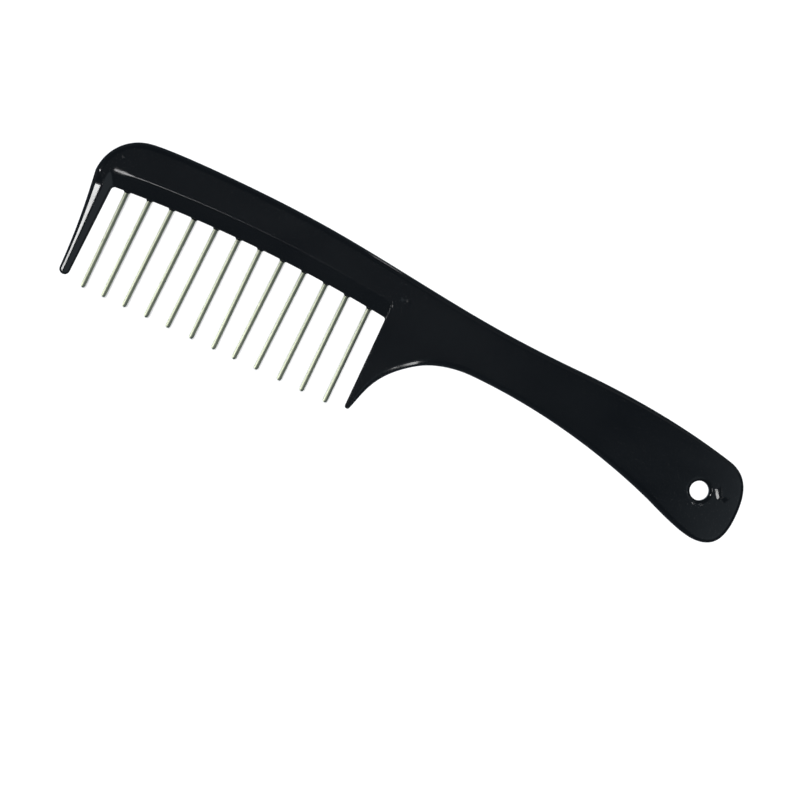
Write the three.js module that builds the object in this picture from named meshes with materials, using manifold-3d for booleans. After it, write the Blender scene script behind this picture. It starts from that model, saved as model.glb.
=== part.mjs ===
// Wide-tooth pin comb: one moulded plastic frame (spine, two guard teeth and handle in a single
// piece) with twelve separate steel pins set in its spine as the teeth.
//
// Millimetres, +Z up. The comb lies flat: X runs from the head to the handle, Y points away from
// the tips of the teeth, and Z is the thickness. Shapes are drawn with x = 0 beside the first pin
// and z = 0 on the middle plane, and the whole group is then moved so that its origin is the
// middle of the bottom of its box.

import * as THREE from 'three';
import { mergeVertices } from 'three/addons/utils/BufferGeometryUtils.js';
import Module from 'manifold-3d';

const wasm = await Module();
wasm.setup();

// Frame
const THICKNESS = 5.0;
const HALF = THICKNESS / 2;
const OUTER_ROUND = 2.2; // edge radius round the head, back and handle
const INNER_ROUND = 0.45; // edge radius along the walls that face the pins
const ROUND_STEPS = 3; // facets in a quarter of an edge radius

// Guards
const TIP_Y = -14.3; // lowest point of both guard teeth
const TIP_HALF = 1.5; // half thickness at the tips
const FRONT_TAPER_Y = 15.0; // the front guard gets thinner from here down to its tip
const REAR_TAPER_Y = 4.0; // and the rear guard from here
const FRONT_GUARD_SPAN = [-14, -3.5]; // the stretch of x that holds each guard
const REAR_GUARD_SPAN = [86, 101];
const WALL_TOP_X = -5.3; // inner wall of the front guard, at its root and at its tip
const WALL_TIP_X = -5.95;
const RIDGE_TOP_X = -8.0; // ridge between the front guard's inner bevel and its outer facet
const RIDGE_TIP_X = -7.7;
const FACET_TOP_Y = 18.8; // the outer facet starts flat here
const FACET_FULL_Y = 15.2; // and has its full slope from here down
const FACET_SLOPE = 0.4; // how far it falls for each millimetre across
const FACET_REACH = 4.5; // width of its cutter, past the guard's outer edge
const FRONT_TIP_RADIUS = 1.65;
const FRONT_TIP_ROUND = 1.0;
const REAR_TIP_ROUND = 0.6;

// Edge of the spine that the pins come out of, and the crease above its bevelled band
const ROOT_RADIUS = 470;
const ROOT_PEAK = new THREE.Vector2(38.5, 18.75);
const CREASE_RADIUS = 450;
const CREASE_PEAK = new THREE.Vector2(40, 23.95);
const BAND_START_X = 88.4; // the band stops at the rear guard's wall
const BAND_TURN_X = -3.5; // and begins to turn down the front guard here
const INNER_CORNER_Y = 16.6; // where the root edge meets the front guard's wall
const LAND_HALF = 1.4; // half thickness left at the root edge
const TIP_LAND_HALF = 0.9;
const BAND_STEPS = 10;

// Pins
const PIN_COUNT = 12;
const FIRST_PIN_X = -0.45;
const PIN_PITCH = 7.5;
const PIN_RADIUS = 0.7;
const PIN_TIP_Y = -15.5;
const PIN_DOME = 0.7; // length of the rounded tip
const DOME_STEPS = 3;
const PIN_CHAMFER = 0.2; // at the seated end
const PIN_SEAT = 9.0; // length held in the spine
const PIN_SIDES = 12;
const GROOVE_COUNT = 3; // rings that lock the pin in the plastic
const GROOVE_PITCH = 2.2;
const GROOVE_DEPTH = 0.15;
const GROOVE_HALF_WIDTH = 0.3;
const HOLE_RADIUS = 0.87;
const SEAT_GAP = 0.3; // space past the seated end of each pin
const COLLAR_RADIUS = 1.4; // where it leaves the spine
const COLLAR_FOOT_RADIUS = 1.1;
const COLLAR_HEIGHT = 0.5;
const COLLAR_SUNK = 0.8; // how far it starts inside the spine
const COLLAR_SIDES = 16;

// Hang hole
const HANG_CENTRE = new THREE.Vector2(198.5, 9.5);
const HANG_RADIUS = 3.03;
const HANG_LIP = 1.1; // rounding of its edge on both faces
const LIP_STEPS = 3;
const HANG_SIDES = 32;

const OVERSHOOT = 1; // how far cutters run past the faces that they cut

const plastic = new THREE.MeshStandardMaterial({ color: 0x16191c, roughness: 0.22, metalness: 0 });
const steel = new THREE.MeshStandardMaterial({ color: 0xc6c4b8, roughness: 0.2, metalness: 1 });

const point = (x, y) => new THREE.Vector2(x, y);

// Height of a wide shallow arc, given by its radius and its highest point, at one x.
function arcHeight(x, radius, peak) {
  return peak.y - radius + Math.sqrt(radius ** 2 - (x - peak.x) ** 2);
}

const rootY = (x) => arcHeight(x, ROOT_RADIUS, ROOT_PEAK);
const creaseY = (x) => arcHeight(x, CREASE_RADIUS, CREASE_PEAK);

function circleArc(cx, cy, radius, fromDegrees, toDegrees) {
  const toRadians = THREE.MathUtils.degToRad;
  return new THREE.EllipseCurve(cx, cy, radius, radius,
    toRadians(fromDegrees), toRadians(toDegrees), toDegrees < fromDegrees);
}

// The part of the root edge between two x positions, as the arc of a large circle.
function rootArc(fromX, toX) {
  const angleAt = (x) => THREE.MathUtils.radToDeg(Math.acos((x - ROOT_PEAK.x) / ROOT_RADIUS));
  return circleArc(ROOT_PEAK.x, ROOT_PEAK.y - ROOT_RADIUS, ROOT_RADIUS,
    angleAt(fromX), angleAt(toX));
}

const line = (a, b) => new THREE.LineCurve(a, b);
const bow = (a, towardsA, towardsB, b) => new THREE.CubicBezierCurve(a, towardsA, towardsB, b);

// One stretch of the outline: its curve, how many facets it gets and the edge radius along it.
const stretch = (curve, facets, roundFrom, roundTo = roundFrom) => (
  { curve, facets, roundFrom, roundTo });

// The outline, anticlockwise from the root of the front guard.
function outlineStretches() {
  const frontRoot = point(WALL_TOP_X, 15.6);
  const rearRoot = point(BAND_START_X, 15.2);
  const frontTip = point(WALL_TIP_X - FRONT_TIP_RADIUS, TIP_Y + FRONT_TIP_RADIUS);
  const rearTip = point(89.35, -13.5);
  const rearTipRadius = rearTip.y - TIP_Y;
  const rearTipRight = point(rearTip.x + rearTipRadius, rearTip.y);
  const fingerRise = point(103.4, 6.8);
  const fingerPeak = point(120, 11.35);
  const gripEnd = point(184.7, 0.5);
  const buttBottom = point(203.1, -4.8);
  const buttEnd = point(212, 6.8);
  const buttTop = point(203.1, 21.7);
  const waist = point(150, 26.95);
  const shoulder = point(99.7, 29.8);
  const crown = point(28, 34.7);
  const headCentre = point(2.5, 19.1);
  const headRadius = 14.6;
  const headStart = point(-0.04, 33.48);
  const cheek = point(headCentre.x - headRadius, headCentre.y);
  const rootFillet = 1.0;
  const rootStartX = WALL_TOP_X + rootFillet;
  const rootEndX = BAND_START_X - rootFillet;
  return [
    stretch(bow(frontRoot, point(WALL_TOP_X, 16.2), point(-4.9, 16.62),
      point(rootStartX, rootY(rootStartX))), 3, INNER_ROUND),
    stretch(rootArc(rootStartX, rootEndX), 16, INNER_ROUND),
    stretch(bow(point(rootEndX, rootY(rootEndX)), point(88.0, 16.15), point(BAND_START_X, 15.8),
      rearRoot), 3, INNER_ROUND),
    stretch(line(rearRoot, point(rearTip.x - rearTipRadius, rearTip.y)), 1, INNER_ROUND),
    stretch(circleArc(rearTip.x, rearTip.y, rearTipRadius, 180, 360), 6,
      INNER_ROUND, REAR_TIP_ROUND),
    stretch(bow(rearTipRight, point(92.1, -7.7), point(92.2, -1.0), fingerRise), 10,
      REAR_TIP_ROUND, OUTER_ROUND),
    stretch(bow(fingerRise, point(107.8, 9.85), point(114.4, 11.35), fingerPeak), 7, OUTER_ROUND),
    stretch(bow(fingerPeak, point(142, 11.35), point(164, 7.5), gripEnd), 12, OUTER_ROUND),
    stretch(bow(gripEnd, point(187.6, -0.45), point(197.8, -4.8), buttBottom), 6, OUTER_ROUND),
    stretch(bow(buttBottom, point(208.5, -4.8), point(212, -2.3), buttEnd), 8, OUTER_ROUND),
    stretch(bow(buttEnd, point(212, 13), point(211, 20), buttTop), 9, OUTER_ROUND),
    stretch(bow(buttTop, point(185.7, 25.5), point(167.8, 26.95), waist), 9, OUTER_ROUND),
    stretch(bow(waist, point(130, 26.95), point(117.7, 27.85), shoulder), 6, OUTER_ROUND),
    stretch(bow(shoulder, point(71.5, 32.85), point(59.3, 34.7), crown), 9, OUTER_ROUND),
    stretch(bow(crown, point(18, 34.7), point(5.5, 34.45), headStart), 5, OUTER_ROUND),
    stretch(circleArc(headCentre.x, headCentre.y, headRadius, 100, 180), 12, OUTER_ROUND),
    stretch(bow(cheek, point(-10.4, 8), point(-9.5, -1.2),
      point(frontTip.x - FRONT_TIP_RADIUS, frontTip.y)), 8, OUTER_ROUND, FRONT_TIP_ROUND),
    stretch(circleArc(frontTip.x, frontTip.y, FRONT_TIP_RADIUS, 180, 360), 7,
      FRONT_TIP_ROUND, INNER_ROUND),
    stretch(line(point(WALL_TIP_X, frontTip.y), frontRoot), 1, INNER_ROUND),
  ];
}

// Every outline point with its edge radius, its inward direction and the stretch of that
// direction that keeps an inset parallel to both edges that meet there.
function outlinePoints() {
  const corners = outlineStretches().flatMap(({ curve, facets, roundFrom, roundTo }) => (
    Array.from({ length: facets }, (_, i) => ({
      at: curve.getPoint(i / facets),
      round: THREE.MathUtils.lerp(roundFrom, roundTo, i / facets),
    }))));
  const leftOf = (a, b) => point(a.y - b.y, b.x - a.x).normalize();
  return corners.map(({ at, round }, i) => {
    const before = corners.at(i - 1).at;
    const after = corners[(i + 1) % corners.length].at;
    const inwardBefore = leftOf(before, at);
    const inward = leftOf(before, at).add(leftOf(at, after)).normalize();
    return { at, round, inward: inward.divideScalar(inward.dot(inwardBefore)) };
  });
}

// Closed body from equal rings of points, one above another, with flat ends.
function stackRings(rings) {
  const size = rings[0].length;
  const positions = rings.flat().flatMap((p) => p.toArray());
  const index = [];
  for (let level = 0; level + 1 < rings.length; level += 1) {
    for (let i = 0; i < size; i += 1) {
      const a = level * size + i;
      const b = level * size + (i + 1) % size;
      index.push(a, b, b + size, a, b + size, a + size);
    }
  }
  const flat = (ring) => ring.map((p) => point(p.x, p.y));
  const top = (rings.length - 1) * size;
  for (const [a, b, c] of THREE.ShapeUtils.triangulateShape(flat(rings[0]), [])) {
    index.push(a, c, b);
  }
  for (const [a, b, c] of THREE.ShapeUtils.triangulateShape(flat(rings.at(-1)), [])) {
    index.push(top + a, top + b, top + c);
  }
  const geometry = new THREE.BufferGeometry();
  geometry.setAttribute('position', new THREE.Float32BufferAttribute(positions, 3));
  geometry.setIndex(index);
  return geometry;
}

// The plain slab of the frame, with its rounded edges.
function slab() {
  const outline = outlinePoints();
  const ring = (side, turn) => outline.map(({ at, round, inward }) => {
    const inset = at.clone().addScaledVector(inward, round * (1 - Math.cos(turn)));
    return new THREE.Vector3(inset.x, inset.y, side * (HALF - round + round * Math.sin(turn)));
  });
  const turns = Array.from({ length: ROUND_STEPS + 1 }, (_, i) => (i / ROUND_STEPS) * Math.PI / 2);
  const below = turns.map((turn) => ring(-1, turn)).reverse();
  const above = turns.map((turn) => ring(1, turn));
  return stackRings([...below, ...above]);
}

// Closed body through a row of four-cornered sections, wound so that its faces point out.
function loft(sections) {
  const positions = sections.flat().flatMap((p) => p.toArray());
  const index = [0, 2, 1, 0, 3, 2];
  for (let s = 0; s + 1 < sections.length; s += 1) {
    for (let i = 0; i < 4; i += 1) {
      const a = s * 4 + i;
      const b = s * 4 + (i + 1) % 4;
      index.push(a, b + 4, a + 4, a, b, b + 4);
    }
  }
  const last = (sections.length - 1) * 4;
  index.push(last, last + 1, last + 2, last, last + 2, last + 3);
  const geometry = new THREE.BufferGeometry();
  geometry.setAttribute('position', new THREE.Float32BufferAttribute(positions, 3));
  geometry.setIndex(index);
  return geometry;
}

// The same body seen in a mirror lying on the middle plane.
function mirrored(geometry) {
  const copy = geometry.clone().scale(1, 1, -1);
  const index = [...copy.index.array];
  for (let i = 0; i < index.length; i += 3) {
    [index[i], index[i + 1]] = [index[i + 1], index[i]];
  }
  copy.setIndex(index);
  return copy;
}

// A size that changes evenly down a guard, from where its taper begins to its tip.
function downGuard(y, topValue, tipValue, taperY = FRONT_TAPER_Y) {
  const share = Math.max((taperY - y) / (taperY - TIP_Y), 0);
  return THREE.MathUtils.lerp(topValue, tipValue, share);
}

// Cutter for the bevelled band, which slopes from the crease down to the root edge, turns the
// corner and runs on down the inner side of the front guard.
function bandCutter() {
  const reach = 1.4; // the slope runs this many times its own width, so it passes the edge
  const section = (crease, edge, creaseZ, edgeZ) => {
    const beyond = crease.clone().lerp(edge, reach);
    return [
      new THREE.Vector3(crease.x, crease.y, creaseZ),
      new THREE.Vector3(beyond.x, beyond.y, THREE.MathUtils.lerp(creaseZ, edgeZ, reach)),
      new THREE.Vector3(beyond.x, beyond.y, HALF + OVERSHOOT),
      new THREE.Vector3(crease.x, crease.y, HALF + OVERSHOOT),
    ];
  };
  const acrossSpine = Array.from({ length: BAND_STEPS + 1 }, (_, i) => {
    const x = THREE.MathUtils.lerp(BAND_START_X, BAND_TURN_X, i / BAND_STEPS);
    return section(point(x, creaseY(x)), point(x, rootY(x)), HALF, LAND_HALF);
  });
  const corner = section(point(RIDGE_TOP_X, creaseY(RIDGE_TOP_X)),
    point(WALL_TOP_X, INNER_CORNER_Y), HALF, LAND_HALF);
  const guard = [FRONT_TAPER_Y, TIP_Y - OVERSHOOT].map((y) => section(
    point(downGuard(y, RIDGE_TOP_X, RIDGE_TIP_X), y),
    point(downGuard(y, WALL_TOP_X, WALL_TIP_X), y),
    downGuard(y, HALF, TIP_HALF),
    downGuard(y, LAND_HALF, TIP_LAND_HALF),
  ));
  return loft([...acrossSpine, corner, ...guard]);
}

// Cutter for the outer facet of the front guard: flat with the face at the head, then steeper.
function facetCutter() {
  const section = (y) => {
    const x = downGuard(y, RIDGE_TOP_X, RIDGE_TIP_X);
    const z = downGuard(y, HALF, TIP_HALF);
    const share = THREE.MathUtils.clamp((FACET_TOP_Y - y) / (FACET_TOP_Y - FACET_FULL_Y), 0, 1);
    return [
      new THREE.Vector3(x, y, z),
      new THREE.Vector3(x, y, HALF + OVERSHOOT),
      new THREE.Vector3(x - FACET_REACH, y, HALF + OVERSHOOT),
      new THREE.Vector3(x - FACET_REACH, y, z - FACET_REACH * FACET_SLOPE * share),
    ];
  };
  return loft([FACET_TOP_Y, FACET_FULL_Y, FRONT_TAPER_Y, TIP_Y - OVERSHOOT].map(section));
}

// Cutter that thins one guard towards its tip, over a range of x.
function taperCutter([fromX, toX], taperY) {
  const lowY = TIP_Y - OVERSHOOT;
  const lowZ = downGuard(lowY, HALF, TIP_HALF, taperY);
  const section = (x) => [
    new THREE.Vector3(x, taperY, HALF),
    new THREE.Vector3(x, taperY, HALF + OVERSHOOT),
    new THREE.Vector3(x, lowY, HALF + OVERSHOOT),
    new THREE.Vector3(x, lowY, lowZ),
  ];
  return loft([section(fromX), section(toX)]);
}

// Cutter for the hang hole, which flares out through the rounding of its two edges.
function hangHoleCutter() {
  const lip = Array.from({ length: LIP_STEPS + 1 }, (_, i) => {
    const turn = (i / LIP_STEPS) * Math.PI / 2;
    return point(HANG_RADIUS + HANG_LIP * (1 - Math.cos(turn)), HALF - HANG_LIP * (1 - Math.sin(turn)));
  });
  const mouth = point(HANG_RADIUS + HANG_LIP, HALF + OVERSHOOT);
  const upper = [...lip, mouth, point(0, mouth.y)];
  const lower = upper.map((p) => point(p.x, -p.y)).reverse();
  const cutter = new THREE.LatheGeometry([...lower, ...upper], HANG_SIDES);
  return cutter.rotateX(Math.PI / 2).translate(HANG_CENTRE.x, HANG_CENTRE.y, 0);
}

const pinX = (i) => FIRST_PIN_X + i * PIN_PITCH;
const seatY = (i) => rootY(pinX(i)) + PIN_SEAT;

// Short flared ring of plastic round the foot of one pin.
function collar(i) {
  const height = COLLAR_HEIGHT + COLLAR_SUNK;
  const ring = new THREE.CylinderGeometry(COLLAR_RADIUS, COLLAR_FOOT_RADIUS, height, COLLAR_SIDES);
  return ring.translate(pinX(i), rootY(pinX(i)) + COLLAR_SUNK - height / 2, 0);
}

function pinHoleCutter(i) {
  const top = seatY(i) + SEAT_GAP;
  const bottom = rootY(pinX(i)) - COLLAR_HEIGHT - OVERSHOOT;
  const cutter = new THREE.CylinderGeometry(HOLE_RADIUS, HOLE_RADIUS, top - bottom, PIN_SIDES);
  return cutter.translate(pinX(i), (top + bottom) / 2, 0);
}

// One steel pin: rounded tip, plain shank, and locking grooves on the part in the spine.
function pinGeometry(i) {
  const top = seatY(i);
  const profile = Array.from({ length: DOME_STEPS + 1 }, (_, step) => {
    const turn = (step / DOME_STEPS) * Math.PI / 2;
    return point(PIN_RADIUS * Math.sin(turn), PIN_TIP_Y + PIN_DOME * (1 - Math.cos(turn)));
  });
  for (let groove = GROOVE_COUNT; groove > 0; groove -= 1) {
    const middle = top - groove * GROOVE_PITCH;
    profile.push(point(PIN_RADIUS, middle - GROOVE_HALF_WIDTH));
    profile.push(point(PIN_RADIUS - GROOVE_DEPTH, middle));
    profile.push(point(PIN_RADIUS, middle + GROOVE_HALF_WIDTH));
  }
  profile.push(point(PIN_RADIUS, top - PIN_CHAMFER));
  profile.push(point(PIN_RADIUS - PIN_CHAMFER, top));
  profile.push(point(0, top));
  return new THREE.LatheGeometry(profile, PIN_SIDES).translate(pinX(i), 0, 0);
}

function toSolid(geometry) {
  const bare = geometry.clone();
  bare.deleteAttribute('normal');
  bare.deleteAttribute('uv');
  const merged = mergeVertices(bare, 1e-4);
  return new wasm.Manifold(new wasm.Mesh({
    numProp: 3,
    vertProperties: new Float32Array(merged.attributes.position.array),
    triVerts: new Uint32Array(merged.index.array),
  }));
}

function toGeometry(solid) {
  const { vertProperties, triVerts } = solid.getMesh();
  const geometry = new THREE.BufferGeometry();
  geometry.setAttribute('position', new THREE.Float32BufferAttribute(vertProperties, 3));
  geometry.setIndex([...triVerts]);
  geometry.computeVertexNormals();
  return geometry;
}

function combFrame() {
  const pins = Array.from({ length: PIN_COUNT }, (_, i) => i);
  const upper = [
    bandCutter(),
    facetCutter(),
    taperCutter(FRONT_GUARD_SPAN, FRONT_TAPER_Y),
    taperCutter(REAR_GUARD_SPAN, REAR_TAPER_Y),
  ];
  const shaping = [...upper, ...upper.map(mirrored)];
  const drilling = [hangHoleCutter(), ...pins.map(pinHoleCutter)];
  let body = toSolid(slab());
  for (const cutter of shaping) body = body.subtract(toSolid(cutter));
  for (const ring of pins.map(collar)) body = body.add(toSolid(ring));
  for (const cutter of drilling) body = body.subtract(toSolid(cutter));
  const mesh = new THREE.Mesh(toGeometry(body), plastic);
  mesh.name = 'comb_frame';
  return mesh;
}

function pin(i) {
  const mesh = new THREE.Mesh(pinGeometry(i), steel);
  mesh.name = `pin_${String(i + 1).padStart(2, '0')}`;
  return mesh;
}

const comb = new THREE.Group();
comb.add(combFrame());
for (let i = 0; i < PIN_COUNT; i += 1) comb.add(pin(i));

// The origin is the middle of the bottom of the comb's box.
const box = new THREE.Box3().setFromObject(comb);
const middle = box.getCenter(new THREE.Vector3());
comb.position.set(-middle.x, -middle.y, -box.min.z);

export default comb;
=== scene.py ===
"""A handled wide-tooth pin comb lying on a pale table: glossy black plastic frame, steel pins.

The frame of the comb is rebuilt here as one fine mesh, drawn in millimetres in the same drawing
coordinates as the CAD model (x = 0 beside the first pin, z = 0 on the middle plane), and then put
where the CAD model is.
"""
import math

import bmesh
import bpy
import numpy as np
from mathutils import Matrix, Vector
from mathutils.geometry import delaunay_2d_cdt
from mathutils.kdtree import KDTree


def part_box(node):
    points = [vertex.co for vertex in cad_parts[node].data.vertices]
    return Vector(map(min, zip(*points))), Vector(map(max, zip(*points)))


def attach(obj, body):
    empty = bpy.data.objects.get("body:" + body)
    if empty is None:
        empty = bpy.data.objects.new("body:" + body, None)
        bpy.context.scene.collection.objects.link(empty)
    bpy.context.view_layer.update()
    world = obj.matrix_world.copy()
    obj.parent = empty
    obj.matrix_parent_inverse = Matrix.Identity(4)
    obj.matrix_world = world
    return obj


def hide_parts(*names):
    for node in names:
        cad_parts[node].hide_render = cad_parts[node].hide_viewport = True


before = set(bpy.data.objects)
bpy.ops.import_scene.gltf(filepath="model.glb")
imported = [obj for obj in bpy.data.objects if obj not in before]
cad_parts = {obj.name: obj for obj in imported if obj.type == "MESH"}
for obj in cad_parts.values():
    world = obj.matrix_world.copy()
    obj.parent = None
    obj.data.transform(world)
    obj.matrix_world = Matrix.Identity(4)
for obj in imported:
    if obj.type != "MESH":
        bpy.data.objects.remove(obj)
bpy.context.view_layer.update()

MM = 0.001
PIN_NODES = sorted(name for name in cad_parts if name.startswith("pin_"))

frame_low, frame_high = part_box("comb_frame")
HALF = (frame_high.z - frame_low.z) / 2 / MM   # half thickness of the frame

# Radii of the outline's edges: round the comb, along the pins, and where they are crisper
OUTER_ROUND, INNER_ROUND = 2.2, 0.45
GUARD_ROUND, GUARD_TIP_ROUND = 1.45, 0.8   # outer edge of the front guard, at its top and tip
CRISP_Y, WIDE_Y = 15.2, 18.8               # it changes to the head's own radius between these
REAR_INNER_ROUND, REAR_TIP_ROUND = 0.25, 0.6
BUTT_ROUND = 1.3

# Sizes of the frame
TIP_Y = -14.3                              # tips of the guards
TIP_HALF = 1.5                             # half thickness there
FRONT_TAPER_Y, REAR_TAPER_Y = 15.0, 4.0    # the guards get thinner below these
FRONT_GUARD_END_X = -3.0                   # on this side of here
REAR_GUARD_X, REAR_GUARD_END_X = 85.0, 110.0   # and between these
FRONT_TIP_RADIUS = 1.65
ROOT_RADIUS, ROOT_PEAK = 470.0, (38.5, 18.75)       # the edge that the pins stand in
CREASE_RADIUS, CREASE_PEAK = 450.0, (40.0, 23.95)   # the upper edge of the bevelled band
BAND_START_X = 88.4                        # the handle's end of the band
STEP_WIDTH = 0.15                          # and the steep step up from it to the handle's face
LAND_HALF, TIP_LAND_HALF = 1.4, 0.9        # half thickness at the foot of the bevel
WALL_TOP_X, WALL_TIP_X = -5.3, -5.95       # inner wall of the front guard
RIDGE_TOP_X, RIDGE_TIP_X = -8.0, -7.7      # ridge along the front guard
RIDGE_TURN_Y = 16.0                        # it turns out to the cheek here, at 45 degrees
FACET_SLOPE = math.tan(math.radians(22))   # outer facet of the front guard
HANG_CENTRE = (198.5, 9.5)
HANG_RADIUS = 3.03
HANG_LIP = 1.1                             # rounding of its edge on both faces

# Softness of the edges between faces, as a height; the crease is worn round at the head
CREASE_SOFTNESS = [(-8.2, 0.03), (-6.9, 0.30), (-4.0, 0.30), (-2.0, 0.18), (0.0, 0.07), (20.0, 0.035)]
RIDGE_SOFT, RIDGE_TIP_SOFT = 0.50, 0.12
RIDGE_TURN_SOFT = 1.2
VALLEY_SOFT = 0.7
STEP_SOFT = 0.03

# Moulding marks, shallow four-sided pits: x, y, half width, half length, direction of width, slope
FACE_MARKS = [
    (-5.9, 25.9, 0.55, 0.6, 86, 0.068),
    (92.0, 23.4, 0.6, 0.6, 51, 0.10),
    (88.6, 20.2, 0.33, 0.45, 181.5, 0.46),
]
HANG_MARKS = [
    (198.4, 5.2, 0.5, 0.45, 35, 0.306),
    (200.65, 5.65, 0.5, 0.45, 35, 0.286),
    (204.2, 11.2, 0.95, 1.75, 35, 0.306),
]
MARK_ENDS = 3                              # their ends are this much steeper than their sides
PARTING_PROUD = 0.05                       # how far the parting line stands out
PARTING_HALF = 0.08

# Mesh density
OUTLINE_STEP = 0.55
ROUND_RINGS = 11
HANG_SIDES = 128
LIP_RINGS, HANG_RING_STEP = 10, 0.13
HANG_RINGS_OUT = 7.5                       # the mesh is in rings out to here
FIELD_STEP, HEAD_STEP = 2.2, 0.45          # grids over the whole comb and over its cheek
MARK_RINGS, MARK_SIDES = 5, 20
POINT_GAP = 0.12                           # the least distance between loose points

# Shading normals
NORMAL_REACH = 0.02                        # the surface's slope is taken over this distance
STEEP_SHARE = 0.15                         # outer share of a rounded edge, too steep for a slope
SAME_PLACE = 0.003                         # points closer than this are one point

# Pins
PIN_SIDES = 40
DOME_LENGTH = 0.7
GROOVE_COUNT = 3
GROOVE_PITCH = 2.2
GROOVE_DEPTH = 0.15
GROOVE_HALF_WIDTH = 0.3
SEAT_LENGTH = 9.0
SEAT_GAP = 0.3
SEAT_CHAMFER = 0.2
HOLE_GAP = 0.01                            # between a pin and the plastic moulded round it
HOLE_START = 1.0                           # the hole is cut from this far below the collar
COLLAR_HEIGHT = 0.5
COLLAR_FLARE = 0.85                        # how much wider the collar is where it leaves the spine
COLLAR_WALL = 0.12                         # and how thick it is at its foot
COLLAR_SUNK = 0.8
COLLAR_HALF_HIGH = 1.0
# How far each pin strays from its even place, at its foot and its tip: they are never parallel
PIN_STRAYS = [
    (0.1, 0.1), (0.0, -0.4), (-0.1, -0.8), (-0.1, -0.8), (-0.2, -0.9), (-0.1, -0.4),
    (-0.2, -0.3), (0.0, -0.8), (0.0, -0.8), (0.1, -0.4), (0.0, -0.2), (0.4, 0.3),
]

# Camera, in metres
VIEW_HEIGHT = 1.0                          # above the face of the comb
VIEW_WIDTH = 0.2462
VIEW_CENTRE = (0.00325, -0.01445)
VIEW_TURN = 25.4                           # degrees

CHEEK_X = -12.1                            # the furthest the head bulges beyond the first pin
ORIGIN = Vector((frame_low.x - CHEEK_X * MM,
                 frame_low.y - TIP_Y * MM,
                 (frame_low.z + frame_high.z) / 2))


def to_row(x, y, z):
    """A point of the comb's own drawing, in millimetres, as a place in the row frame."""
    return ORIGIN + Vector((x, y, z)) * MM


# ---------------------------------------------------------------- outline of the frame

def arc_height(x, radius, peak):
    return peak[1] - radius + np.sqrt(radius ** 2 - (np.asarray(x, float) - peak[0]) ** 2)


def root_y(x):
    return arc_height(x, ROOT_RADIUS, ROOT_PEAK)


def root_slope(x):
    return (ROOT_PEAK[0] - x) / ROOT_RADIUS


def crease_y(x):
    return arc_height(x, CREASE_RADIUS, CREASE_PEAK)


def bow(a, b, c, d):
    """Cubic curve from a to d that leaves towards b and arrives from c."""
    a, b, c, d = (np.array(p, float) for p in (a, b, c, d))

    def at(t):
        t = t[:, None]
        return (1 - t) ** 3 * a + 3 * (1 - t) ** 2 * t * b + 3 * (1 - t) * t ** 2 * c + t ** 3 * d
    return at


def line(a, b):
    a, b = np.array(a, float), np.array(b, float)
    return lambda t: a + (b - a) * t[:, None]


def circle_arc(centre, radius, from_degrees, to_degrees):
    def at(t):
        angle = np.radians(from_degrees + (to_degrees - from_degrees) * t)
        return np.stack([centre[0] + radius * np.cos(angle),
                         centre[1] + radius * np.sin(angle)], 1)
    return at


def root_arc(from_x, to_x):
    def at(t):
        x = from_x + (to_x - from_x) * t
        return np.stack([x, root_y(x)], 1)
    return at


def steady(radius):
    """An edge radius that stays the same along a stretch of the outline."""
    return lambda t, places: np.full(len(t), radius)


def changing(radius_from, radius_to):
    """An edge radius that changes evenly along a stretch of the outline."""
    return lambda t, places: radius_from + (radius_to - radius_from) * t


def guard_round(t, places):
    """The head's wide edge radius giving way to the front guard's crisper one."""
    y = places[:, 1]
    crisp = along_guard(np.minimum(y, FRONT_TAPER_Y), GUARD_ROUND, GUARD_TIP_ROUND)
    return crisp + (OUTER_ROUND - crisp) * ease((y - CRISP_Y) / (WIDE_Y - CRISP_Y))


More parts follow.
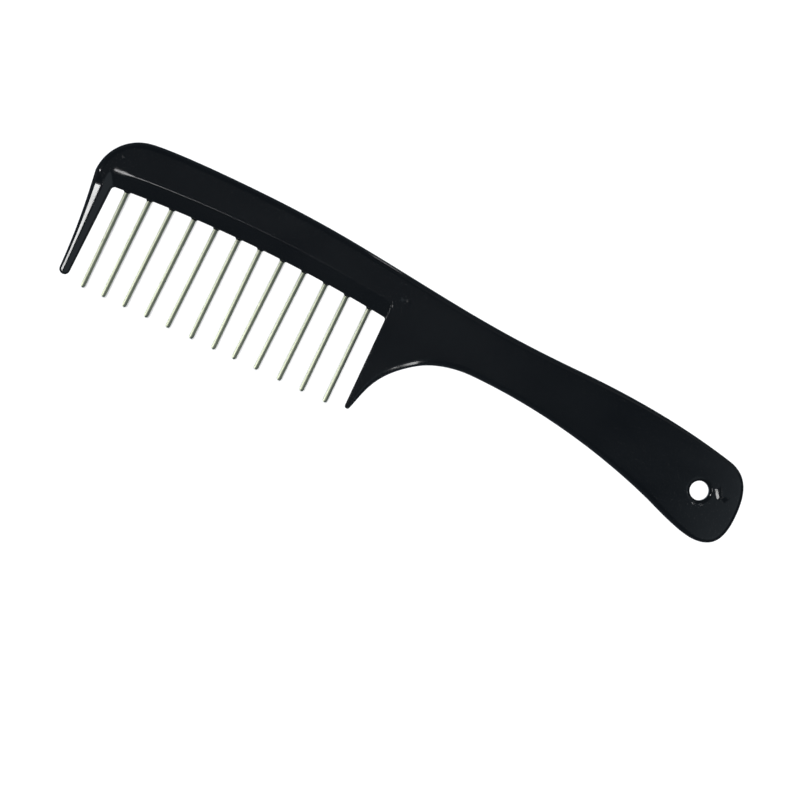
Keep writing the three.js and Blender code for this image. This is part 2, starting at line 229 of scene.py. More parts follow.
def outline_stretches():
    """The outline anticlockwise: each stretch's curve and the edge radius along it."""
    front_root = (WALL_TOP_X, 15.6)
    rear_root = (BAND_START_X, 15.2)
    front_tip = (WALL_TIP_X - FRONT_TIP_RADIUS, TIP_Y + FRONT_TIP_RADIUS)
    rear_tip = (89.35, -13.5)
    rear_radius = rear_tip[1] - TIP_Y
    finger_rise, finger_peak = (103.4, 6.8), (120, 11.35)
    grip_end, butt_bottom, butt_end, butt_top = (184.7, 0.5), (203.1, -4.8), (212, 6.8), (203.1, 21.7)
    waist, shoulder, crown, head_start = (150, 26.95), (99.7, 29.8), (28, 34.7), (-0.04, 33.48)
    head_centre, head_radius = (2.5, 19.1), 14.6
    cheek = (head_centre[0] - head_radius, head_centre[1])
    fillet = 1.0
    first_x, last_x = WALL_TOP_X + fillet, BAND_START_X - fillet
    inner, outer = steady(INNER_ROUND), steady(OUTER_ROUND)
    return [
        (bow(front_root, (WALL_TOP_X, 16.2), (-4.9, 16.62), (first_x, root_y(first_x))), inner),
        (root_arc(first_x, last_x), inner),
        (bow((last_x, root_y(last_x)), (88.0, 16.15), (BAND_START_X, 15.8), rear_root), inner),
        (line(rear_root, (rear_tip[0] - rear_radius, rear_tip[1])), steady(REAR_INNER_ROUND)),
        (circle_arc(rear_tip, rear_radius, 180, 360), changing(REAR_INNER_ROUND, REAR_TIP_ROUND)),
        (bow((rear_tip[0] + rear_radius, rear_tip[1]), (92.1, -7.7), (92.2, -1.0), finger_rise),
         changing(REAR_TIP_ROUND, OUTER_ROUND)),
        (bow(finger_rise, (107.8, 9.85), (114.4, 11.35), finger_peak), outer),
        (bow(finger_peak, (142, 11.35), (164, 7.5), grip_end), outer),
        (bow(grip_end, (187.6, -0.45), (197.8, -4.8), butt_bottom),
         changing(OUTER_ROUND, BUTT_ROUND)),
        (bow(butt_bottom, (208.5, -4.8), (212, -2.3), butt_end), steady(BUTT_ROUND)),
        (bow(butt_end, (212, 13), (211, 20), butt_top), steady(BUTT_ROUND)),
        (bow(butt_top, (185.7, 25.5), (167.8, 26.95), waist), changing(BUTT_ROUND, OUTER_ROUND)),
        (bow(waist, (130, 26.95), (117.7, 27.85), shoulder), outer),
        (bow(shoulder, (71.5, 32.85), (59.3, 34.7), crown), outer),
        (bow(crown, (18, 34.7), (5.5, 34.45), head_start), outer),
        (circle_arc(head_centre, head_radius, 100, 180), outer),
        (bow(cheek, (-10.4, 8), (-9.5, -1.2), (front_tip[0] - FRONT_TIP_RADIUS, front_tip[1])),
         guard_round),
        (circle_arc(front_tip, FRONT_TIP_RADIUS, 180, 360), changing(GUARD_TIP_ROUND, INNER_ROUND)),
        (line((WALL_TIP_X, front_tip[1]), front_root), inner),
    ]


def sample_outline():
    """Points along the whole outline with the edge radius and the inward direction at each."""
    points, rounds = [], []
    for curve, radius_along in outline_stretches():
        fine = curve(np.linspace(0, 1, 200))
        length = np.linalg.norm(np.diff(fine, axis=0), axis=1).sum()
        count = max(4, math.ceil(length / OUTLINE_STEP))
        t = np.arange(count) / count
        places = curve(t)
        points.append(places)
        rounds.append(radius_along(t, places))
    points, rounds = np.concatenate(points), np.concatenate(rounds)
    along = np.roll(points, -1, 0) - np.roll(points, 1, 0)
    inward = np.stack([-along[:, 1], along[:, 0]], 1)
    return points, rounds, inward / np.linalg.norm(inward, axis=1)[:, None]


# ---------------------------------------------------------------- height of the surface

def ease(t):
    t = np.clip(t, 0, 1)
    return t * t * (3 - 2 * t)


def soft_min(a, b, width):
    """The lower of two heights, with the edge between them rounded over."""
    gap = np.clip(0.5 + (b - a) / (2 * width), 0, 1)
    return b + (a - b) * gap - width * gap * (1 - gap)


def soft_max(a, b, width):
    return -soft_min(-a, -b, width)


def edge_drop(distance, radius):
    """How far a rounded edge has fallen at a distance inside it."""
    inside = np.clip(1 - distance / radius, 0, 1)
    return radius * (1 - np.sqrt(np.clip(1 - inside ** 2, 0, 1)))


def distance_and_round(points, outline, rounds):
    """Distance of every point from the outline and the edge radius at the nearest place."""
    start, along = outline, np.roll(outline, -1, 0) - outline
    length2 = (along ** 2).sum(1)
    after = np.roll(rounds, -1)
    distance, radius = np.empty(len(points)), np.empty(len(points))
    block = 1500
    for low in range(0, len(points), block):
        offset = points[low:low + block, None] - start[None]
        t = np.clip((offset * along).sum(2) / length2, 0, 1)
        gap2 = ((offset - t[..., None] * along) ** 2).sum(2)
        nearest = gap2.argmin(1)
        rows = np.arange(len(nearest))
        share = t[rows, nearest]
        distance[low:low + block] = np.sqrt(gap2[rows, nearest])
        radius[low:low + block] = rounds[nearest] * (1 - share) + after[nearest] * share
    return distance, radius


def full_half(x, y):
    """Half thickness before edges and bevels: the guards get thinner towards their tips."""
    front = np.clip((FRONT_TAPER_Y - y) / (FRONT_TAPER_Y - TIP_Y), 0, 1) * (x < FRONT_GUARD_END_X)
    rear = np.clip((REAR_TAPER_Y - y) / (REAR_TAPER_Y - TIP_Y), 0, 1)
    rear = rear * (x > REAR_GUARD_X) * (x < REAR_GUARD_END_X)
    return HALF - (HALF - TIP_HALF) * (front + rear)


def along_guard(y, top_value, tip_value):
    """A value that changes evenly from the top of the front guard to its tip."""
    return top_value + (tip_value - top_value) * (FRONT_TAPER_Y - y) / (FRONT_TAPER_Y - TIP_Y)


def step_height(x):
    """The steep step up from the band to the handle's face."""
    return HALF + (x - BAND_START_X) * (HALF - LAND_HALF) / STEP_WIDTH


def band_height(x, y):
    """The bevel along the spine, its turn down the front guard and its step at the handle."""
    rise = (y - root_y(x)) / (crease_y(x) - root_y(x))
    spine = LAND_HALF + (HALF - LAND_HALF) * rise
    wall = along_guard(y, WALL_TOP_X, WALL_TIP_X)
    ridge = along_guard(y, RIDGE_TOP_X, RIDGE_TIP_X)
    low = along_guard(np.minimum(y, FRONT_TAPER_Y), LAND_HALF, TIP_LAND_HALF)
    high = along_guard(np.minimum(y, FRONT_TAPER_Y), HALF, TIP_HALF)
    guard = low + (high - low) * (wall - x) / (wall - ridge)
    return soft_max(soft_max(spine, guard, VALLEY_SOFT), step_height(x), STEP_SOFT)


def facet_height(x, y):
    """The outer facet of the front guard; at its top the ridge turns out to the cheek."""
    turned_out = soft_max(y - RIDGE_TURN_Y, 0, RIDGE_TURN_SOFT)
    outside = along_guard(y, RIDGE_TOP_X, RIDGE_TIP_X) - turned_out - x
    return full_half(x, y) - FACET_SLOPE * outside


def lip_drop(x, y):
    """The rounded edge of the hang hole."""
    reach = np.hypot(x - HANG_CENTRE[0], y - HANG_CENTRE[1])
    return edge_drop(np.maximum(reach - HANG_RADIUS, 0), HANG_LIP)


def mark_drop(x, y):
    """The depth of the moulding marks; each side of a pit has one slope, so it glints as one."""
    drop = np.zeros_like(x)
    for mark_x, mark_y, half_width, half_length, direction, slope in FACE_MARKS + HANG_MARKS:
        turn = math.radians(direction)
        across = (x - mark_x) * math.cos(turn) + (y - mark_y) * math.sin(turn)
        along = (y - mark_y) * math.cos(turn) - (x - mark_x) * math.sin(turn)
        to_side = half_width - np.abs(across)
        to_end = MARK_ENDS * (half_length - np.abs(along))
        drop += slope * np.clip(np.minimum(to_side, to_end), 0, None)
    return drop


def surface_height(points, outline, rounds):
    """Height of the top surface above the middle plane; the underside is its mirror image."""
    x, y = points[:, 0], points[:, 1]
    distance, radius = distance_and_round(points, outline, rounds)
    crease_soft = np.interp(x, *zip(*CREASE_SOFTNESS))
    height = soft_min(full_half(x, y), band_height(x, y), crease_soft)
    ridge_soft = along_guard(np.minimum(y, FRONT_TAPER_Y), RIDGE_SOFT, RIDGE_TIP_SOFT)
    height = soft_min(height, facet_height(x, y), ridge_soft)
    return height - edge_drop(distance, radius) - lip_drop(x, y) - mark_drop(x, y)


def surface_normals(points, outline, rounds):
    """The surface's own normals, or zeros where it is too steep or has a sharp step."""
    def slope(direction):
        ahead = surface_height(points + direction * NORMAL_REACH, outline, rounds)
        behind = surface_height(points - direction * NORMAL_REACH, outline, rounds)
        return (ahead - behind) / (2 * NORMAL_REACH)
    normals = np.stack([-slope(np.array([1.0, 0.0])), -slope(np.array([0.0, 1.0])),
                        np.ones(len(points))], 1)
    normals /= np.linalg.norm(normals, axis=1)[:, None]
    distance, radius = distance_and_round(points, outline, rounds)
    x, y = points[:, 0], points[:, 1]
    from_bore = np.hypot(x - HANG_CENTRE[0], y - HANG_CENTRE[1]) - HANG_RADIUS
    before, after, above = 0.4, 0.2, 0.5
    on_step = (x > BAND_START_X - before) & (x < BAND_START_X + after)
    on_step &= y < crease_y(BAND_START_X) + above
    steep = (distance < STEEP_SHARE * radius) | (from_bore < STEEP_SHARE * HANG_LIP)
    normals[steep | on_step] = 0
    return normals


# ---------------------------------------------------------------- mesh of the frame

def ring_points(centre, radius, count):
    angle = np.arange(count) / count * 2 * math.pi
    return np.stack([centre[0] + radius * np.cos(angle), centre[1] + radius * np.sin(angle)], 1)


def inside_polygon(points, polygon):
    """Which points lie inside a closed polygon, by counting the edges to their right."""
    ax, ay = polygon[:, 0], polygon[:, 1]
    bx, by = np.roll(ax, -1), np.roll(ay, -1)
    inside = np.zeros(len(points), bool)
    block = 4000
    for low in range(0, len(points), block):
        x, y = points[low:low + block, 0][:, None], points[low:low + block, 1][:, None]
        spans = (ay > y) != (by > y)
        with np.errstate(divide="ignore", invalid="ignore"):
            cross = (bx - ax) * (y - ay) / (by - ay) + ax
        inside[low:low + block] = (spans & (x < cross)).sum(1) % 2 == 1
    return inside


def rows_beside(curve_points, offsets):
    """Copies of a row of points moved sideways by each offset."""
    along = np.gradient(curve_points, axis=0)
    side = np.stack([-along[:, 1], along[:, 0]], 1)
    side /= np.linalg.norm(side, axis=1)[:, None]
    return np.concatenate([curve_points + side * offset for offset in offsets])


def feature_points():
    """Extra points along the crease, the ridge, the mitre and the step, over the cheek and the marks.

    The numbers in it are spacings and margins of the mesh, in millimetres.
    """
    beside = np.arange(-6, 7) * 0.22
    x = np.arange(RIDGE_TOP_X, BAND_START_X + 1, 0.7)
    crease = np.stack([x, crease_y(x)], 1)
    y = np.arange(TIP_Y + 1.2, crease_y(RIDGE_TOP_X), 0.5)
    ridge = np.stack([along_guard(y, RIDGE_TOP_X, RIDGE_TIP_X), y], 1)
    t = np.linspace(0, 1, 14)[:, None]
    mitre = np.array([WALL_TOP_X, 16.6]) * (1 - t)
    mitre = mitre + np.array([RIDGE_TOP_X, crease_y(RIDGE_TOP_X)]) * t
    step_y = np.arange(15.5, crease_y(BAND_START_X) + 0.6, 0.2)
    step = np.stack([np.full_like(step_y, BAND_START_X), step_y], 1)
    cheek_x, cheek_y = np.meshgrid(np.arange(-12, -5, HEAD_STEP), np.arange(12, 28, HEAD_STEP))
    parts = [
        rows_beside(crease, beside),
        rows_beside(ridge, beside),
        rows_beside(mitre, beside[1:-1]),
        rows_beside(step, [-0.6, -0.45, -0.3, 0.0, STEP_WIDTH, 0.3, 0.6]),
        np.stack([cheek_x.ravel(), cheek_y.ravel()], 1),
    ]
    for mark_x, mark_y, half_width, *_ in FACE_MARKS:
        parts.append(np.array([(mark_x, mark_y)]))
        parts += [ring_points((mark_x, mark_y), half_width * share / 4, MARK_SIDES)
                  for share in range(1, MARK_RINGS + 1)]
    return np.concatenate(parts)


def field_points():
    """A coarse staggered grid over the whole comb."""
    x, y = np.meshgrid(np.arange(-13, 213, FIELD_STEP), np.arange(-15, 36, FIELD_STEP))
    return np.stack([x.ravel() + (y.ravel() / FIELD_STEP % 2 > 1) * FIELD_STEP / 2, y.ravel()], 1)


def thinned(points, gap):
    """The points with near twins left out: the first one in each small square stays."""
    keys = np.round(points / gap).astype(int)
    first = np.unique(keys, axis=0, return_index=True)[1]
    return points[np.sort(first)]


def triangles_between(outer_ring, hang_ring, loose):
    """Delaunay triangles over the flat middle, inside one ring and outside the other."""
    points = np.concatenate([outer_ring, hang_ring, loose])
    loops = []
    for start, size in ((0, len(outer_ring)), (len(outer_ring), len(hang_ring))):
        loops += [(start + i, start + (i + 1) % size) for i in range(size)]
    found = delaunay_2d_cdt([Vector(p) for p in points], loops, [], 0, 1e-6)
    places, triangles, origins = found[0], found[2], found[3]
    index = [origin[0] if origin else None for origin in origins]
    if None in index:
        raise RuntimeError("the outline crosses itself")
    flat = np.array([places[i] for i in range(len(places))])
    middles = np.array([(flat[a] + flat[b] + flat[c]) / 3 for a, b, c in triangles])
    kept = inside_polygon(middles, outer_ring) & ~inside_polygon(middles, hang_ring)
    return [tuple(index[v] for v in tri) for tri, keep in zip(triangles, kept) if keep]


def hang_hole_rings():
    """Rings of points from the edge of the bore out past the marks beside it."""
    turns = np.linspace(0, math.pi / 2, LIP_RINGS)
    reaches = list(HANG_RADIUS + HANG_LIP * (1 - np.cos(turns)))
    reaches += list(np.arange(HANG_RADIUS + HANG_LIP, HANG_RINGS_OUT, HANG_RING_STEP)[1:])
    return [ring_points(HANG_CENTRE, reach, HANG_SIDES) for reach in reaches]


def loose_points(edge_ring, hang_ring, rounds):
    """The points between the rings, clear of both."""
    loose = thinned(np.concatenate([feature_points(), field_points()]), POINT_GAP)
    loose = loose[inside_polygon(loose, edge_ring)]
    gap, _ = distance_and_round(loose, edge_ring, rounds)
    away = np.hypot(loose[:, 0] - HANG_CENTRE[0], loose[:, 1] - HANG_CENTRE[1])
    hang_reach = hang_ring[0, 0] - HANG_CENTRE[0]
    clear = 0.3
    return loose[(gap > POINT_GAP) & (away > hang_reach + clear)]


def strip(a, b, count):
    """Quads between two closed rows of points that start at index a and at index b."""
    return [(a + i, a + (i + 1) % count, b + (i + 1) % count, b + i) for i in range(count)]


def frame_mesh():
    """The closed mesh of the frame, with its top points (in millimetres) and their normals."""
    outline, rounds, inward = sample_outline()
    turns = np.linspace(0, math.pi / 2, ROUND_RINGS)
    rings = [outline + inward * (rounds * (1 - math.cos(turn)))[:, None] for turn in turns]
    hang_rings = hang_hole_rings()
    loose = loose_points(rings[-1], hang_rings[-1], rounds)
    middle = triangles_between(rings[-1], hang_rings[-1], loose)

    flat = np.concatenate([*rings, *hang_rings, loose])
    size, sides = len(outline), HANG_SIDES
    ring_start = [i * size for i in range(len(rings))]
    hang_start = [len(rings) * size + i * sides for i in range(len(hang_rings))]
    loose_start = hang_start[-1] + sides

    def middle_index(i):
        if i < size:
            return ring_start[-1] + i
        if i < size + sides:
            return hang_start[-1] + i - size
        return loose_start + i - size - sides

    top = [face for a, b in zip(ring_start, ring_start[1:]) for face in strip(a, b, size)]
    top += [face[::-1] for a, b in zip(hang_start, hang_start[1:]) for face in strip(a, b, sides)]
    top += [tuple(middle_index(i) for i in tri) for tri in middle]
    under = [tuple(len(flat) + i for i in face[::-1]) for face in top]

    # The side wall, with a fine raised parting line round its middle
    proud = outline - inward * PARTING_PROUD
    wall = [(outline, PARTING_HALF), (proud, 0.0), (outline, -PARTING_HALF)]
    wall_start = 2 * len(flat)
    rows = [ring_start[0]] + [wall_start + i * size for i in range(len(wall))] + [len(flat)]
    sidewall = [face[::-1] for a, b in zip(rows, rows[1:]) for face in strip(a, b, size)]
    bore = strip(hang_start[0], len(flat) + hang_start[0], sides)

    height = surface_height(flat, outline, rounds)
    upper = np.column_stack([flat, height])
    lower = np.column_stack([flat, -height])
    walls = [np.column_stack([row, np.full(size, z)]) for row, z in wall]
    places = np.concatenate([upper, lower, *walls]) * MM + np.array(ORIGIN)
    mesh = bpy.data.meshes.new("comb_frame_fine")
    mesh.from_pydata(places.tolist(), [], top + under + sidewall + bore)
    return mesh, upper, surface_normals(flat, outline, rounds)


def give_normals(mesh, upper, normals):
    """Shades the points on the drawn surface, or on its mirror image, with its own normals.

    A point with a zero normal keeps the one that Blender works out.
    """
    tree = KDTree(len(upper))
    for i, place in enumerate(upper):
        tree.insert(place, i)
    tree.balance()
    exact = []
    for vertex in mesh.vertices:
        x, y, z = (vertex.co - ORIGIN) / MM
        _, i, gap = tree.find((x, y, abs(z)))
        normal = normals[i] if gap < SAME_PLACE else (0, 0, 0)
        exact.append((normal[0], normal[1], math.copysign(normal[2], z)))
    mesh.normals_split_custom_set_from_vertices(exact)


# ---------------------------------------------------------------- pins

def turned(rows, middle_x, tilt=0.0):
    """A closed body of oval sections along Y, from rows of (y, half width, half height).

    middle_x gives the middle of the section at each y, and tilt slants the sections in the plane.
    """
    places, faces = [], []
    for y, wide, high in rows:
        for i in range(PIN_SIDES):
            turn = 2 * math.pi * i / PIN_SIDES
            across = wide * math.cos(turn)
            places.append(to_row(middle_x(y) + across, y + tilt * across, high * math.sin(turn)))
    for row in range(len(rows) - 1):
        faces += [face[::-1] for face in strip(row * PIN_SIDES, (row + 1) * PIN_SIDES, PIN_SIDES)]
    last = (len(rows) - 1) * PIN_SIDES
    faces.append(tuple(range(PIN_SIDES)))
    faces.append(tuple(last + i for i in reversed(range(PIN_SIDES))))
    mesh = bpy.data.meshes.new("turned")
    mesh.from_pydata(places, [], faces)
    return mesh


class Pin:
    """One pin of the row: its place from the CAD model and how far it strays from it."""

    def __init__(self, node, foot_stray, tip_stray):
        low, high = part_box(node)
        self.node = node
        self.radius = (high.z - low.z) / 2 / MM
        self.tip_y, self.seat_y = (low.y - ORIGIN.y) / MM, (high.y - ORIGIN.y) / MM
        self.foot_y = self.seat_y - SEAT_LENGTH
        self.foot_x = ((low.x + high.x) / 2 - ORIGIN.x) / MM + foot_stray
        self.lean = (tip_stray - foot_stray) / (self.foot_y - self.tip_y)

    def middle_x(self, y):
        """Where the leaning pin's axis is at this y."""
        return self.foot_x + self.lean * (self.foot_y - y)

    def wire(self):
        """From the domed tip up the plain wire to the grooved end that sits in the spine."""
        rows = []
        for turn in np.radians(np.linspace(8, 90, 8)):
            rows.append((self.tip_y + DOME_LENGTH * (1 - math.cos(turn)),
                         self.radius * math.sin(turn)))
        groove_middles = [self.seat_y - (GROOVE_COUNT - i) * GROOVE_PITCH for i in range(GROOVE_COUNT)]
        for middle in groove_middles:
            rows += [(middle - GROOVE_HALF_WIDTH, self.radius),
                     (middle, self.radius - GROOVE_DEPTH),
                     (middle + GROOVE_HALF_WIDTH, self.radius)]
        rows += [(self.seat_y - SEAT_CHAMFER, self.radius), (self.seat_y, self.radius - SEAT_CHAMFER)]
        return turned([(y, radius, radius) for y, radius in rows], self.middle_x)

    def hole(self):
        """What is cut from the frame to make room for the pin."""
        radius = self.radius + HOLE_GAP
        ends = (self.foot_y - COLLAR_HEIGHT - HOLE_START, self.seat_y + SEAT_GAP)
        return turned([(y, radius, radius) for y in ends], self.middle_x)

    def collar(self):
        """The flared ring of plastic that the pin comes out of."""
        foot = self.radius + COLLAR_WALL
        rows = []
        for turn in np.radians(np.linspace(0, 90, 7)):
            rows.append((self.foot_y - COLLAR_HEIGHT * (1 - math.sin(turn)),
                         foot + COLLAR_FLARE * (1 - math.cos(turn))))
        rows.append((self.foot_y + COLLAR_SUNK, foot + COLLAR_FLARE))
        return turned([(y, wide, min(wide, COLLAR_HALF_HIGH)) for y, wide in rows],
                      self.middle_x, root_slope(self.foot_x))


def smoothed(mesh, sharp_degrees):
    """The mesh shaded smooth, except over edges sharper than this."""
    for face in mesh.polygons:
        face.use_smooth = True
    mesh.set_sharp_from_angle(angle=math.radians(sharp_degrees))
    return mesh


def merged(meshes):
    """Several meshes as one, side by side."""
    together = bmesh.new()
    for mesh in meshes:
        together.from_mesh(mesh)
    result = bpy.data.meshes.new("merged")
    together.to_mesh(result)
    together.free()
    return result


def joined_and_bored(body_mesh, added, removed):
    """The body with one mesh joined on and then another cut away."""
    body = bpy.data.objects.new("body", body_mesh)
    tools = []
    bpy.context.scene.collection.objects.link(body)
    for operation, tool_mesh in (("UNION", added), ("DIFFERENCE", removed)):
        tool = bpy.data.objects.new(operation, tool_mesh)
        bpy.context.scene.collection.objects.link(tool)
        step = body.modifiers.new(operation, "BOOLEAN")
        step.operation = operation
        step.solver = "MANIFOLD"
        step.object = tool
        tools.append(tool)
    graph = bpy.context.evaluated_depsgraph_get()
    result = bpy.data.meshes.new_from_object(body.evaluated_get(graph))
    for helper in [body, *tools]:
        bpy.data.objects.remove(helper)
    return result


def place(mesh, name, node, slot, material):
    """The mesh as a visible piece that stands in for one CAD node."""
    piece = bpy.data.objects.new(name, mesh)
    bpy.context.scene.collection.objects.link(piece)
    mesh.materials.clear()
    mesh.materials.append(material)
    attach(piece, "root")
    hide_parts(node)
    return piece


# ---------------------------------------------------------------- materials

class Nodes:
    """Short calls for building one material's node tree."""

    def __init__(self, name):
        self.material = bpy.data.materials.new(name)
        self.material.use_nodes = True
        self.tree = self.material.node_tree
        self.shader = self.tree.nodes["Principled BSDF"]
        self.place = self.add("ShaderNodeTexCoord").outputs["Object"]

    def add(self, kind, **settings):
        node = self.tree.nodes.new(kind)
        for key, value in settings.items():
            setattr(node, key, value)
        return node

    def join(self, out, into):
        self.tree.links.new(out, into)

    def noise(self, stretch, turn_degrees=0.0, detail=2.0):
        """Noise with its own scale along each axis, per metre, turned about Z."""
        mapping = self.add("ShaderNodeMapping")
        mapping.inputs["Rotation"].default_value = (0, 0, math.radians(turn_degrees))
        mapping.inputs["Scale"].default_value = stretch
        noise = self.add("ShaderNodeTexNoise")
        noise.inputs["Scale"].default_value = 1.0
        noise.inputs["Detail"].default_value = detail
        self.join(self.place, mapping.inputs["Vector"])
        self.join(mapping.outputs["Vector"], noise.inputs["Vector"])
        return noise.outputs["Fac"]

    def span(self, value, low, high, from_low=0.3, from_high=0.7):
        """The value moved from one range to another and held inside it."""
        node = self.add("ShaderNodeMapRange")
        node.inputs["From Min"].default_value = from_low
        node.inputs["From Max"].default_value = from_high
        node.inputs["To Min"].default_value = low
        node.inputs["To Max"].default_value = high
        self.join(value, node.inputs["Value"])
        return node.outputs["Result"]

    def maths(self, operation, a, b):
        node = self.add("ShaderNodeMath", operation=operation)
        self.join(a, node.inputs[0])
        self.join(b, node.inputs[1])
        return node.outputs[0]

    def blend_colours(self, factor, first, second):
        node = self.add("ShaderNodeMix", data_type="RGBA")
        self.join(factor, node.inputs["Factor"])
        node.inputs["A"].default_value = (*first, 1)
        node.inputs["B"].default_value = (*second, 1)
        return node.outputs["Result"]

    def bump(self, height, depth, under=None):
        node = self.add("ShaderNodeBump")
        node.inputs["Distance"].default_value = depth
        self.join(height, node.inputs["Height"])
        if under is not None:
            self.join(under, node.inputs["Normal"])
        return node.outputs["Normal"]


def glossy_black_plastic():
    """Injection-moulded black plastic: deep gloss, a trace of orange peel and hairline scuffs."""
    n = Nodes("glossy_black_plastic")
    cloud = n.noise((60, 60, 60), detail=3.0)
    colour = n.blend_colours(n.span(cloud, 0, 1), (0.0018, 0.0024, 0.0032), (0.0026, 0.0033, 0.0041))
    n.join(colour, n.shader.inputs["Base Color"])
    smear = n.span(n.noise((45, 110, 80), turn_degrees=12, detail=4.0), 0.10, 0.15)
    hairs = n.span(n.noise((40, 6500, 300), turn_degrees=9), 0.0, 0.05, 0.62, 0.74)
    cross_hairs = n.span(n.noise((7000, 50, 300), turn_degrees=-31), 0.0, 0.04, 0.64, 0.76)
    rough = n.maths("ADD", smear, n.maths("MAXIMUM", hairs, cross_hairs))
    n.join(rough, n.shader.inputs["Roughness"])
    peel = n.bump(n.noise((420, 420, 420), detail=1.0), 3.0e-6)
    n.join(n.bump(n.noise((2600, 2600, 2600), detail=2.0), 2.0e-7, peel), n.shader.inputs["Normal"])
    n.shader.inputs["IOR"].default_value = 1.5
    n.shader.inputs["Specular IOR Level"].default_value = 0.5
    return n.material


def drawn_steel_wire():
    """Polished steel wire with fine draw lines along it and a slightly warm cast."""
    n = Nodes("drawn_steel_wire")
    stain = n.noise((300, 90, 300), detail=3.0)
    colour = n.blend_colours(n.span(stain, 0, 1), (0.76, 0.79, 0.60), (0.63, 0.67, 0.50))
    n.join(colour, n.shader.inputs["Base Color"])
    lines = n.noise((9000, 120, 9000), detail=2.0)
    n.join(n.span(lines, 0.34, 0.48), n.shader.inputs["Roughness"])
    n.join(n.bump(lines, 1.5e-6), n.shader.inputs["Normal"])
    n.shader.inputs["Metallic"].default_value = 1.0
    return n.material


def pale_table():
    """The plain pale floor, bright enough to read as white."""
    n = Nodes("pale_table")
    grain = n.noise((35, 35, 35), detail=4.0)
    colour = n.blend_colours(n.span(grain, 0, 1), (0.90, 0.90, 0.90), (0.92, 0.92, 0.92))
    n.join(colour, n.shader.inputs["Base Color"])
    n.shader.inputs["Roughness"].default_value = 0.8
    n.shader.inputs["Specular IOR Level"].default_value = 0.1
    return n.material


# ---------------------------------------------------------------- stage, light and camera

def floor():
    """The table; it isn't mirrored in the comb and doesn't shade lamps that are below it."""
    bpy.ops.mesh.primitive_plane_add(size=12, location=(0, 0, 0))
    plane = bpy.context.object
    plane.name = "table"
    plane.data.materials.append(pale_table())
    plane.visible_glossy = False
    plane.visible_shadow = False


def collection_of(pieces, name):
    """A collection that only says which pieces a lamp falls on or which shade it."""
    group = bpy.data.collections.new(name)
    for piece in pieces:
        group.objects.link(piece)
    return group


def put_lamp(data, azimuth, tilt, distance, aim, only):
    """The lamp facing aim from this far off, falling only on the pieces in only."""
    lamp = bpy.data.objects.new(data.name, data)
    turn = Matrix.Rotation(math.radians(azimuth), 4, "Z") @ Matrix.Rotation(math.radians(tilt), 4, "Y")
    lamp.matrix_world = Matrix.Translation(aim) @ turn @ Matrix.Translation((0, 0, distance))
    bpy.context.scene.collection.objects.link(lamp)
    lamp.visible_camera = False
    lamp.light_linking.receiver_collection = collection_of(only, data.name + "_falls_on")


def light_panel(name, azimuth, tilt, distance, size, radiance, only, aim=(0, 0, 0),
                colour=(1, 1, 1), spread=180):
    """A soft rectangular light that faces aim, a point in the row frame.

    azimuth is anticlockwise from +X, tilt is away from straight up, both in degrees; size is
    (along the tilt, across it) in metres; radiance is how bright its face is, the table being 1.
    """
    data = bpy.data.lights.new(name, "AREA")
    data.shape = "RECTANGLE"
    data.size, data.size_y = size
    data.energy = radiance * math.pi * size[0] * size[1]
    data.color = colour
    data.spread = math.radians(spread)
    put_lamp(data, azimuth, tilt, distance, aim, only)


def spot_lamp(name, azimuth, tilt, distance, radius, radiance, cone, only, aim):
    """A small round lamp that lights only the cone, in degrees, in front of it."""
    data = bpy.data.lights.new(name, "SPOT")
    data.shadow_soft_size = radius
    data.spot_size = math.radians(cone)
    data.spot_blend = 0.3
    data.energy = radiance * (2 * math.pi * radius) ** 2
    put_lamp(data, azimuth, tilt, distance, aim, only)


def table_light(pins):
    """An even light from overhead that whitens the table and isn't mirrored; only pins shade it."""
    data = bpy.data.lights.new("table_light", "SUN")
    data.energy = 3.7
    data.angle = math.radians(30)
    lamp = bpy.data.objects.new("table_light", data)
    bpy.context.scene.collection.objects.link(lamp)
    lamp.visible_glossy = False
    lamp.light_linking.blocker_collection = collection_of(pins, "table_light_shadows")


def surroundings():
    """A dim studio for reflections, darker overhead than round the sides; white to the camera."""
    side_glow, overhead_glow = 0.12, 0.075
    world = bpy.data.worlds.new("studio")
    world.use_nodes = True
    bpy.context.scene.world = world
    tree = world.node_tree
    for node in list(tree.nodes):
        tree.nodes.remove(node)
    place_out = tree.nodes.new("ShaderNodeTexCoord").outputs["Generated"]
    split = tree.nodes.new("ShaderNodeSeparateXYZ")
    height = tree.nodes.new("ShaderNodeMapRange")
    height.interpolation_type = "SMOOTHSTEP"
    height.inputs["From Min"].default_value = 0.0
    height.inputs["From Max"].default_value = 0.6
    height.inputs["To Min"].default_value = side_glow
    height.inputs["To Max"].default_value = overhead_glow
    dim = tree.nodes.new("ShaderNodeBackground")
    dim.inputs["Color"].default_value = (0.82, 1.0, 1.2, 1)
    bright = tree.nodes.new("ShaderNodeBackground")
    bright.inputs["Strength"].default_value = 1.0
    bright.inputs["Color"].default_value = (1, 1, 1, 1)
    path = tree.nodes.new("ShaderNodeLightPath")
    mix = tree.nodes.new("ShaderNodeMixShader")
    out = tree.nodes.new("ShaderNodeOutputWorld")
    tree.links.new(place_out, split.inputs["Vector"])
    tree.links.new(split.outputs["Z"], height.inputs["Value"])
    tree.links.new(height.outputs["Result"], dim.inputs["Strength"])
    tree.links.new(path.outputs["Is Camera Ray"], mix.inputs["Fac"])
    tree.links.new(dim.outputs["Background"], mix.inputs[1])
    tree.links.new(bright.outputs["Background"], mix.inputs[2])
    tree.links.new(mix.outputs["Shader"], out.inputs["Surface"])


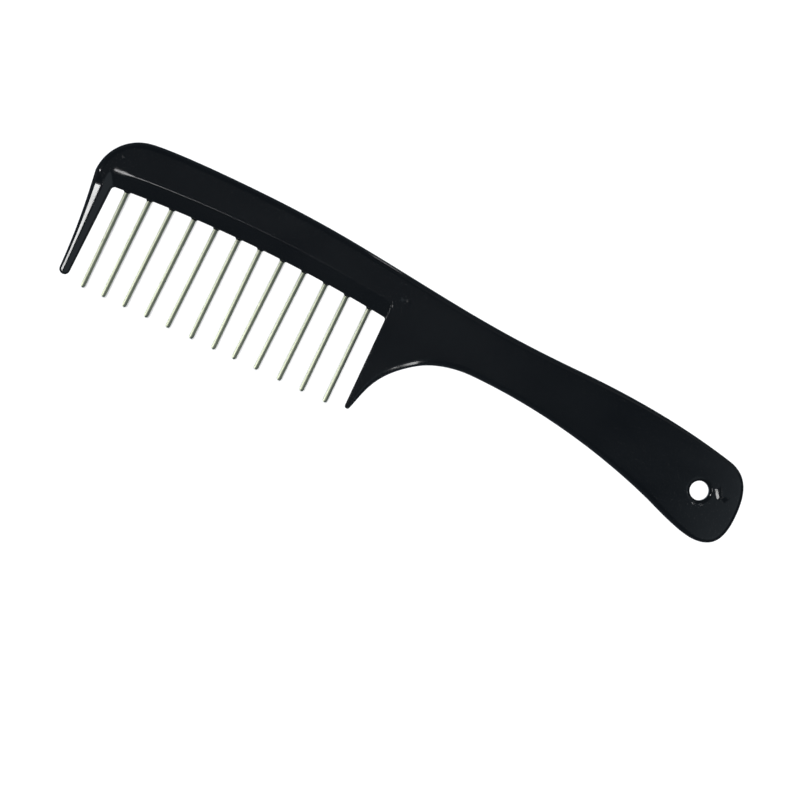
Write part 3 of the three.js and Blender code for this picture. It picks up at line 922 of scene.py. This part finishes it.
def lights(comb, pins):
    """Each panel, card or spot puts one highlight or one soft tone on the comb or on the pins."""
    surroundings()
    table_light(pins)
    light_panel("pins_left", 180, 62, 1.4, (1.5, 1.6), 1.5, only=pins)
    light_panel("pins_floor", 205, 112, 1.4, (1.3, 2.0), 1.6, only=pins)
    light_panel("pins_top", 180, 8, 1.4, (0.8, 1.2), 0.35, only=pins)
    light_panel("pins_right", 0, 55, 1.4, (1.4, 1.6), 0.10, only=pins)
    light_panel("back_panel", 64, 60, 1.4, (0.6, 0.9), 0.3, only=[comb])
    light_panel("guard_light", 183.3, 50.5, 1.4, (0.51, 0.11), 24, only=[comb])
    light_panel("head_card", 180, 4.8, 1.3, (0.38, 0.6), 0.05, only=[comb])
    light_panel("spine_card", -137, 16, 1.3, (0.15, 0.15), 11, only=[comb])
    light_panel("butt_card", -5, 25.2, 1.2, (0.63, 0.95), 0.39, only=[comb], colour=(0.88, 1.0, 1.08))
    spot_lamp("hang_spot", 30.7, 39.3, 0.12, 0.004, 18, 7, only=[comb], aim=to_row(201.3, 8.3, HALF))
    spot_lamp("back_spot", 82.5, 95, 0.06, 0.006, 7, 10, only=[comb], aim=to_row(78.5, 31.5, HALF))
    for step in range(7):
        light_panel(f"finger_light_{step}", -53, 45 + 6 * step, 0.7, (0.073, 0.07), 0.04,
                    only=[comb], aim=to_row(101, 6.7, HALF), spread=10)


def camera():
    """Looks straight down, turned so the comb's handle slopes down to the right."""
    data = bpy.data.cameras.new("camera")
    data.sensor_width = 36.0
    data.lens = data.sensor_width * VIEW_HEIGHT / VIEW_WIDTH
    eye = bpy.data.objects.new("camera", data)
    top = 2 * HALF * MM
    eye.location = (*VIEW_CENTRE, top + VIEW_HEIGHT)
    eye.rotation_euler = (0, 0, math.radians(VIEW_TURN))
    bpy.context.scene.collection.objects.link(eye)
    bpy.context.scene.camera = eye


# ---------------------------------------------------------------- the comb

plastic = glossy_black_plastic()
steel = drawn_steel_wire()
row_of_pins = [Pin(node, *strays) for node, strays in zip(PIN_NODES, PIN_STRAYS)]
collars = merged([pin.collar() for pin in row_of_pins])
holes = merged([pin.hole() for pin in row_of_pins])
blank, upper_points, upper_normals = frame_mesh()
moulding = smoothed(joined_and_bored(blank, collars, holes), sharp_degrees=40)
give_normals(moulding, upper_points, upper_normals)
comb = place(moulding, "comb_frame_fine", "comb_frame", "frame_plastic", plastic)
wires = [place(smoothed(pin.wire(), sharp_degrees=50), pin.node + "_wire", pin.node, "pin_steel", steel)
         for pin in row_of_pins]

floor()
lights(comb, wires)
camera()
bpy.context.scene.view_settings.view_transform = "Standard"
